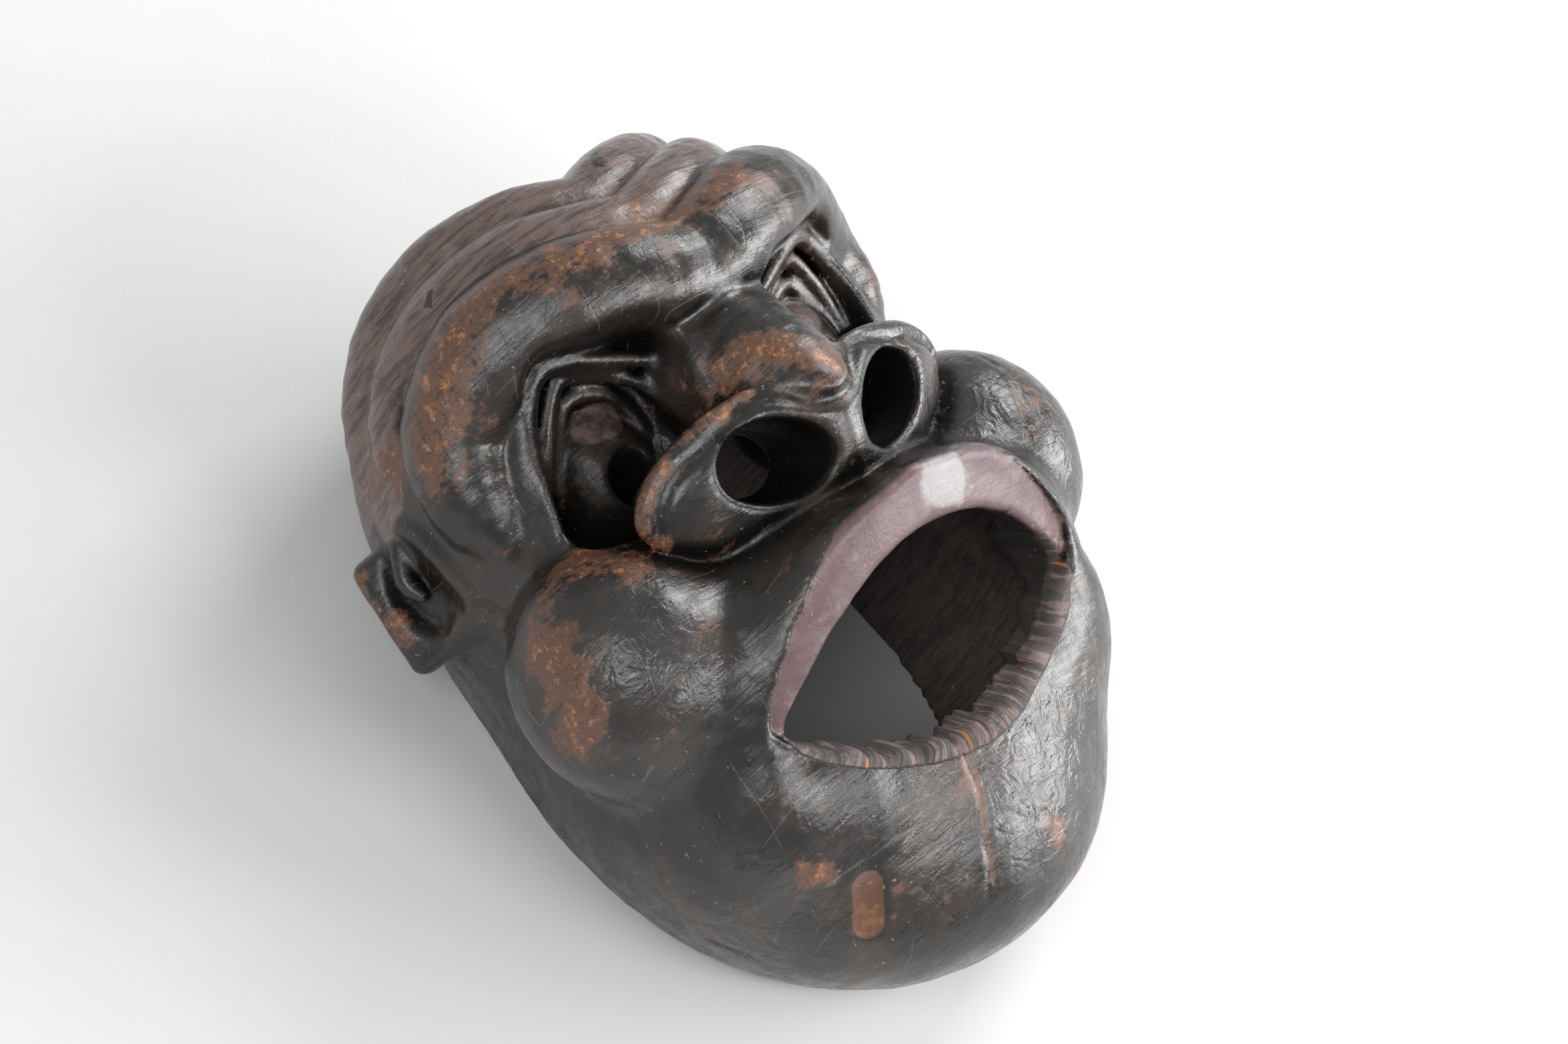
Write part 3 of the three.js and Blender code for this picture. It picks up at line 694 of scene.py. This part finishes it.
class Nodes:
    """A material's nodes, made by short calls that give sockets."""

    def __init__(self, name):
        self.material = bpy.data.materials.new(name)
        self.material.use_nodes = True
        self.tree = self.material.node_tree
        self.tree.nodes.clear()
        self.coordinates = self.make("ShaderNodeTexCoord").outputs["Object"]

    def make(self, kind, **settings):
        """A node with the given settings."""
        node = self.tree.nodes.new(kind)
        for name, value in settings.items():
            setattr(node, name, value)
        return node

    def put(self, socket, value):
        """Links a socket to an input, or sets the input to a plain value."""
        if isinstance(value, bpy.types.NodeSocket):
            self.tree.links.new(value, socket)
        else:
            socket.default_value = value

    def math(self, operation, a, b=0.0):
        node = self.make("ShaderNodeMath", operation=operation)
        self.put(node.inputs[0], a)
        self.put(node.inputs[1], b)
        return node.outputs[0]

    def value(self, name):
        """One of the values that the mesh carries."""
        return self.make("ShaderNodeAttribute", attribute_name=name).outputs["Fac"]

    def noise(self, scale, detail, roughness=0.55, stretch=(1, 1, 1), distortion=0.0):
        """Noise over the object, drawn out along the axes where the stretch is small."""
        place = self.make("ShaderNodeMapping")
        self.put(place.inputs["Vector"], self.coordinates)
        place.inputs["Scale"].default_value = stretch
        node = self.make("ShaderNodeTexNoise")
        self.put(node.inputs["Vector"], place.outputs[0])
        node.inputs["Scale"].default_value = scale
        node.inputs["Detail"].default_value = detail
        node.inputs["Roughness"].default_value = roughness
        node.inputs["Distortion"].default_value = distortion
        return node.outputs["Fac"]

    def ragged(self, value, noise, amount):
        """The value moved by noise around its middle, for a ragged edge."""
        moved = self.math("MULTIPLY", self.math("SUBTRACT", noise, 0.5), amount)
        return self.math("ADD", value, moved)

    def scratches(self, scale, stretch):
        """Thin lines where drawn-out noise crosses its middle: 0 on a line, 1 away from it."""
        away = self.math("ABSOLUTE", self.math("SUBTRACT", self.noise(scale, 0, 0.5, stretch), 0.5))
        return self.between(away, 0.002, 0.008)

    def lines(self, along, across, scale):
        """Noise drawn out across a length that is given by a mesh value."""
        place = self.make("ShaderNodeCombineXYZ")
        self.put(place.inputs["X"], self.value(along))
        self.put(place.inputs["Y"], self.math("MULTIPLY", self.value(across), 0.12))
        node = self.make("ShaderNodeTexNoise")
        self.put(node.inputs["Vector"], place.outputs[0])
        node.inputs["Scale"].default_value = scale
        node.inputs["Detail"].default_value = 3
        return node.outputs["Fac"]

    def between(self, value, low, high, start=0.0, end=1.0):
        """Goes softly from the start to the end while the value goes from low to high."""
        node = self.make("ShaderNodeMapRange", interpolation_type="SMOOTHSTEP")
        self.put(node.inputs["Value"], value)
        for name, number in zip(("From Min", "From Max", "To Min", "To Max"), (low, high, start, end)):
            node.inputs[name].default_value = number
        return node.outputs[0]

    def mix(self, share, a, b, kind="RGBA"):
        """The first colour with a share of the second over it."""
        node = self.make("ShaderNodeMix", data_type=kind)
        for name, value in (("Factor", share), ("A", a), ("B", b)):
            self.put(node.inputs[name], value)
        return node.outputs["Result"]

    def mix_value(self, share, a, b):
        return self.mix(share, a, b, "FLOAT")

    def bump(self, height, strength, distance, normal=None):
        """A relief of the given depth in metres, over the relief given before it."""
        node = self.make("ShaderNodeBump")
        node.inputs["Strength"].default_value = strength
        node.inputs["Distance"].default_value = distance
        self.put(node.inputs["Height"], height)
        if normal:
            self.put(node.inputs["Normal"], normal)
        return node.outputs[0]

    def finish(self, colour, roughness, specular, normal=None):
        """The material, from what its parts have given."""
        shader = self.make("ShaderNodeBsdfPrincipled")
        self.put(shader.inputs["Base Color"], colour)
        self.put(shader.inputs["Roughness"], roughness)
        self.put(shader.inputs["Specular IOR Level"], specular)
        if normal:
            self.put(shader.inputs["Normal"], normal)
        output = self.make("ShaderNodeOutputMaterial")
        self.tree.links.new(shader.outputs[0], output.inputs["Surface"])
        return self.material


BLACK = (0.012, 0.011, 0.010, 1)
BROWN_BLACK = (0.030, 0.022, 0.017, 1)
GREY_FILM = (0.055, 0.053, 0.052, 1)
# black of the painted shade in grooves, sockets and nostrils, and of open splits and chips
SHADE_AND_CRACK_BLACK = (0.007, 0.006, 0.005, 1)
MAUVE = (0.150, 0.102, 0.092, 1)
MAUVE_DARK = (0.060, 0.042, 0.038, 1)
DARK_WOOD = (0.105, 0.048, 0.028, 1)
BARE_WOOD = (0.310, 0.135, 0.048, 1)
LIP_PINK = (0.086, 0.042, 0.050, 1)
# pale grey of the painted highlight on the lip
LIP_HIGHLIGHT = (0.24, 0.22, 0.22, 1)
LIP_ROSE = (0.112, 0.064, 0.069, 1)
LIP_WORN = (0.180, 0.125, 0.100, 1)
LIP_STAIN = (0.095, 0.056, 0.036, 1)
IRIS = (0.150, 0.095, 0.100, 1)
BROKEN = (0.060, 0.050, 0.046, 1)
BROKEN_DEEP = (0.022, 0.017, 0.014, 1)
BROKEN_PINK = (0.170, 0.118, 0.120, 1)
INSIDE = (0.100, 0.082, 0.072, 1)
INSIDE_DARK = (0.055, 0.045, 0.040, 1)
DUST = (0.30, 0.28, 0.25, 1)
PAPER = (0.60, 0.60, 0.60, 1)
PAPER_LIGHT = (0.62, 0.62, 0.62, 1)

# Roughness and shine of the mask's parts
WOOD_ROUGHNESS = 0.42
LIP_ROUGHNESS = 0.42
INSIDE_ROUGHNESS = 0.75
BROKEN_ROUGHNESS = 0.8
SHINE = 0.62
DULL = 0.10
RAGGEDNESS = 1.2                 # of painted and broken edges, in millimetres


class Wood(Nodes):
    """The nodes of the mask's material, with the noises that its parts share."""

    def __init__(self):
        super().__init__("lacquered_wood")
        self.broad = self.noise(9, 3)
        self.middle = self.noise(38, 5)
        self.fine = self.noise(160, 6, 0.65)
        self.grain = self.noise(520, 3, 0.6)
        self.strokes = self.noise(70, 5, 0.65, stretch=(1, 7, 1), distortion=0.4)
        self.cuts = self.math("MINIMUM", self.scratches(60, (1, 0.02, 0.3)),
                              self.scratches(70, (0.02, 1, 0.2)))


def lacquer_on(n, painted_shade):
    """Black lacquer under brown and grey films, mauve paint on the rolls at the back, and painted shade
    in grooves.
    """
    colour = n.mix(n.between(n.middle, 0.40, 0.64), BLACK, BROWN_BLACK)
    colour = n.mix(n.between(n.broad, 0.45, 0.7, 0, 0.5), colour, GREY_FILM)
    old = n.between(n.math("ADD", n.value("old_paint"), n.math("MULTIPLY", n.middle, 4)), 2.5, 1.0)
    mauve = n.mix(n.between(n.strokes, 0.42, 0.62), MAUVE, MAUVE_DARK)
    colour = n.mix(n.math("MULTIPLY", old, 0.92), colour, mauve)
    # painted shade: darker where wood stands near in front, in grooves and hollows
    return n.mix(painted_shade, colour, SHADE_AND_CRACK_BLACK)


def rubbed_through(n, colour):
    """Wood where the lacquer is rubbed away: the colour, and how much of it is wood."""
    worn = n.math("ADD", n.value("rubbed"), n.math("MULTIPLY", n.value("bend"), 0.10))
    for noise, amount in ((n.middle, 1.7), (n.fine, 2.2), (n.strokes, 1.0)):
        worn = n.ragged(worn, noise, amount)
    brown = n.math("MULTIPLY", n.between(worn, 0.30, 0.62), n.between(n.grain, 0.36, 0.50, 0.45, 1.0))
    flecks = n.between(n.noise(230, 6, 0.75), 0.53, 0.60)
    bare = n.math("MULTIPLY", n.between(worn, 0.50, 0.95), flecks)
    return n.mix(bare, n.mix(brown, colour, DARK_WOOD), BARE_WOOD), brown


def scratched(n, colour):
    """Pale scratches in some places, and the chipped oval at the chin."""
    some = n.between(n.noise(55, 2), 0.55, 0.62, 0, 0.16)
    colour = n.mix(n.math("MULTIPLY", n.between(n.cuts, 1.0, 0.0), some), colour, DUST)
    oval = n.ragged(n.ragged(n.value("oval"), n.middle, 6), n.fine, RAGGEDNESS)
    wood = n.mix(n.between(n.fine, 0.46, 0.85), DARK_WOOD, BARE_WOOD)
    return n.mix(n.between(oval, 5.9, 5.2), colour, wood)


def lip_paint(n):
    """The worn paint of the lip, with a painted highlight on it: where it is, and its colour."""
    lip = n.between(n.ragged(n.value("lip"), n.fine, RAGGEDNESS), 0.2, -0.2)
    lip = n.math("MULTIPLY", lip, n.between(n.value("lip_out"), -4.0, -1.2))
    colour = n.mix(n.between(n.middle, 0.38, 0.62), LIP_PINK, LIP_ROSE)
    colour = n.mix(n.between(n.noise(60, 5, 0.7), 0.54, 0.66, 0, 0.7), colour, LIP_WORN)
    # painted highlight: a pale patch on the lip's flat
    pale = n.ragged(n.value("pale"), n.middle, 1.6)
    colour = n.mix(n.between(pale, 0.44, 0.60), colour, LIP_HIGHLIGHT)
    stain = n.math("ADD", n.fine, n.between(n.value("lip"), -4.0, 0.0, 0, 0.16))
    return lip, n.mix(n.between(stain, 0.62, 0.76, 0, 0.75), colour, LIP_STAIN)


def broken_wood(n):
    """The break of the mouth's lower edge: where it is, its splinters and its colour."""
    reach = n.math("SUBTRACT", n.value("opening"), n.math("MULTIPLY", n.value("lower"), 2.4))
    broken = n.between(n.ragged(reach, n.fine, RAGGEDNESS), 1.8, 1.0)
    broken = n.math("MULTIPLY", broken, n.between(n.value("below_corner"), -1.0, 1.0))
    splinters = n.lines("along", "lip_out", 0.33)
    pink = n.between(n.ragged(splinters, n.fine, 0.5), 0.50, 0.60)
    colour = n.mix(pink, BROKEN, BROKEN_PINK)
    colour = n.mix(n.between(n.lines("along", "lip_out", 0.21), 0.60, 0.66), colour, BARE_WOOD)
    return broken, splinters, n.mix(n.between(n.value("deep"), -0.8, 0.8), colour, BROKEN_DEEP)


def cracked(n, colour, chips):
    """Open splits, a dark line of painted shade along the nose's groove, pale specks and dark chips."""
    split_and_groove_shade = n.ragged(n.value("split_and_groove_shade"), n.fine, 2.5)
    # open splits, and the painted shade along the nose's groove
    colour = n.mix(n.between(split_and_groove_shade, 0.55, 0.25), colour, SHADE_AND_CRACK_BLACK)
    specks = n.math("MULTIPLY", n.between(n.noise(480, 2), 0.70, 0.74), 0.5)
    colour = n.mix(specks, colour, DUST)
    return n.mix(n.math("MULTIPLY", chips, 0.8), colour, SHADE_AND_CRACK_BLACK)


def fine_relief(n, chips, splinters, broken):
    """The relief of brush strokes, wrinkles, scratches, chips, grain and splinters."""
    wrinkles = n.noise(105, 3, 0.5, distortion=1.6)
    wrinkles = n.math("MULTIPLY", wrinkles, n.between(n.broad, 0.45, 0.62))
    hollows = n.math("MINIMUM", n.cuts, n.between(chips, 1, 0))
    normal = None
    for height, strength, depth in ((n.fine, 0.34, 0.0009), (n.strokes, 0.26, 0.0012),
                                    (wrinkles, 0.38, 0.0030), (hollows, 0.12, 0.0004),
                                    (n.grain, 0.25, 0.0003),
                                    (n.math("MULTIPLY", splinters, broken), 0.8, 0.0025)):
        normal = n.bump(height, strength, depth, normal)
    return normal


def dimmed(n, inside):
    """The places that little light reaches, painted in shade: sockets, nostrils and the hollow behind
    them.
    """
    socket = n.between(n.value("socket"), 0.5, -4.0, 0, 0.8)
    dim = n.math("MAXIMUM", socket, n.between(n.value("nostril"), 1.6, 0.6))
    return n.math("MAXIMUM", dim, n.math("MULTIPLY", inside, n.between(n.value("nostril"), 60, 40)))


def lacquered_wood():
    """The mask's material: lacquer, bare wood, paint, breaks and cracks, one over the other, with
    painted shade in grooves and hollows and a painted highlight on the lip.
    """
    n = Wood()
    # how much painted shade a place gets, from the wood near in front of it; it dulls the shine too
    painted_shade = n.between(n.value("painted_shade"), 0.70, 0.20)
    colour, brown = rubbed_through(n, lacquer_on(n, painted_shade))
    colour = scratched(n, colour)
    roughness = n.mix_value(brown, n.between(n.fine, 0.3, 0.7, 0.15, 0.36), WOOD_ROUGHNESS)

    lip, paint = lip_paint(n)
    colour = n.mix(lip, colour, paint)
    roughness = n.mix_value(lip, roughness, LIP_ROUGHNESS)
    iris = n.between(n.ragged(n.value("iris"), n.middle, 9), 0.8, -0.8)
    colour = n.mix(iris, colour, n.mix(n.between(n.fine, 0.4, 0.6), IRIS, MAUVE_DARK))

    inside = n.between(n.value("hollow"), 2.0, 0.8)
    colour = n.mix(inside, colour, n.mix(n.between(n.strokes, 0.4, 0.6), INSIDE, INSIDE_DARK))
    roughness = n.mix_value(inside, roughness, INSIDE_ROUGHNESS)
    broken, splinters, wood = broken_wood(n)
    colour = n.mix(broken, colour, wood)
    roughness = n.mix_value(broken, roughness, BROKEN_ROUGHNESS)

    chips = n.math("ADD", n.noise(52, 4, 0.6), n.between(n.value("height"), 60, 5, 0, 0.10))
    chips = n.math("MULTIPLY", n.between(chips, 0.655, 0.68), n.between(inside, 1, 0))
    colour = cracked(n, colour, chips)
    dim = dimmed(n, inside)
    # painted shade in the sockets, the nostrils and the hollow behind them, less over the iris
    colour = n.mix(n.math("MULTIPLY", dim, n.between(iris, 0, 1, 1, 0.3)), colour, SHADE_AND_CRACK_BLACK)
    shine = n.mix_value(n.math("MAXIMUM", painted_shade, dim), SHINE, DULL)
    return n.finish(colour, roughness, shine, fine_relief(n, chips, splinters, broken))


def carving():
    """The finely carved mask, which stands for the solid."""
    points, faces = net_over(sampled(carved))
    mesh = thinned(mesh_of("carved_mask", points, faces), TRIANGLES)
    points = pulled(carved, mesh)
    marked(mesh, points)
    mesh.polygons.foreach_set("use_smooth", np.ones(len(mesh.polygons), bool))
    piece = bpy.data.objects.new("carved_mask", mesh)
    bpy.context.scene.collection.objects.link(piece)
    mesh.materials.append(lacquered_wood())
    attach(piece, "root")
    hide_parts("mask")


def camera():
    """The camera, turned about its own axis by its roll."""
    around, height, roll = map(math.radians, (CAMERA_AZIMUTH, CAMERA_ELEVATION, CAMERA_ROLL))
    flat = math.cos(height)
    back = Vector((math.sin(around) * flat, -math.cos(around) * flat, math.sin(height)))
    level = Vector((0, 0, 1)).cross(back).normalized()
    upright = back.cross(level)
    right = math.cos(roll) * level + math.sin(roll) * upright
    up = math.cos(roll) * upright - math.sin(roll) * level
    data = bpy.data.cameras.new("camera")
    data.lens = CAMERA_LENS
    data.sensor_width = CAMERA_SENSOR
    view = bpy.data.objects.new("camera", data)
    turn = Matrix((right, up, back)).transposed().to_4x4()
    view.matrix_world = Matrix.Translation(CAMERA_TARGET + back * CAMERA_DISTANCE) @ turn
    bpy.context.scene.collection.objects.link(view)
    bpy.context.scene.camera = view


def floor():
    """Pale paper that the mask lies on."""
    mesh = bpy.data.meshes.new("floor")
    corners = [(across * FLOOR_HALF, along * FLOOR_HALF, 0)
               for across, along in ((-1, -1), (1, -1), (1, 1), (-1, 1))]
    mesh.from_pydata(corners, [], [(0, 1, 2, 3)])
    table = bpy.data.objects.new("floor", mesh)
    bpy.context.scene.collection.objects.link(table)
    n = Nodes("pale_paper")
    tone = n.mix(n.noise(40, 3), PAPER, PAPER_LIGHT)
    mesh.materials.append(n.finish(tone, FLOOR_ROUGHNESS, FLOOR_SPECULAR))


def area_light(name, place, width, height, power):
    """A window that shines towards the lit point."""
    data = bpy.data.lights.new(name, "AREA")
    data.shape = "RECTANGLE"
    data.size = width
    data.size_y = height
    data.energy = power
    lamp = bpy.data.objects.new(name, data)
    lamp.location = place
    way = Vector(LIT_POINT) - Vector(place)
    lamp.rotation_euler = way.to_track_quat("-Z", "Y").to_euler()
    bpy.context.scene.collection.objects.link(lamp)


def lights():
    """The even light of the room, and its windows."""
    world = bpy.data.worlds.new("room")
    bpy.context.scene.world = world
    world.use_nodes = True
    background = world.node_tree.nodes["Background"]
    background.inputs["Color"].default_value = (1, 1, 1, 1)
    background.inputs["Strength"].default_value = ROOM_STRENGTH
    for window in WINDOWS:
        area_light(*window)


bpy.context.scene.view_settings.view_transform = "Standard"
camera()
carving()
floor()
lights()
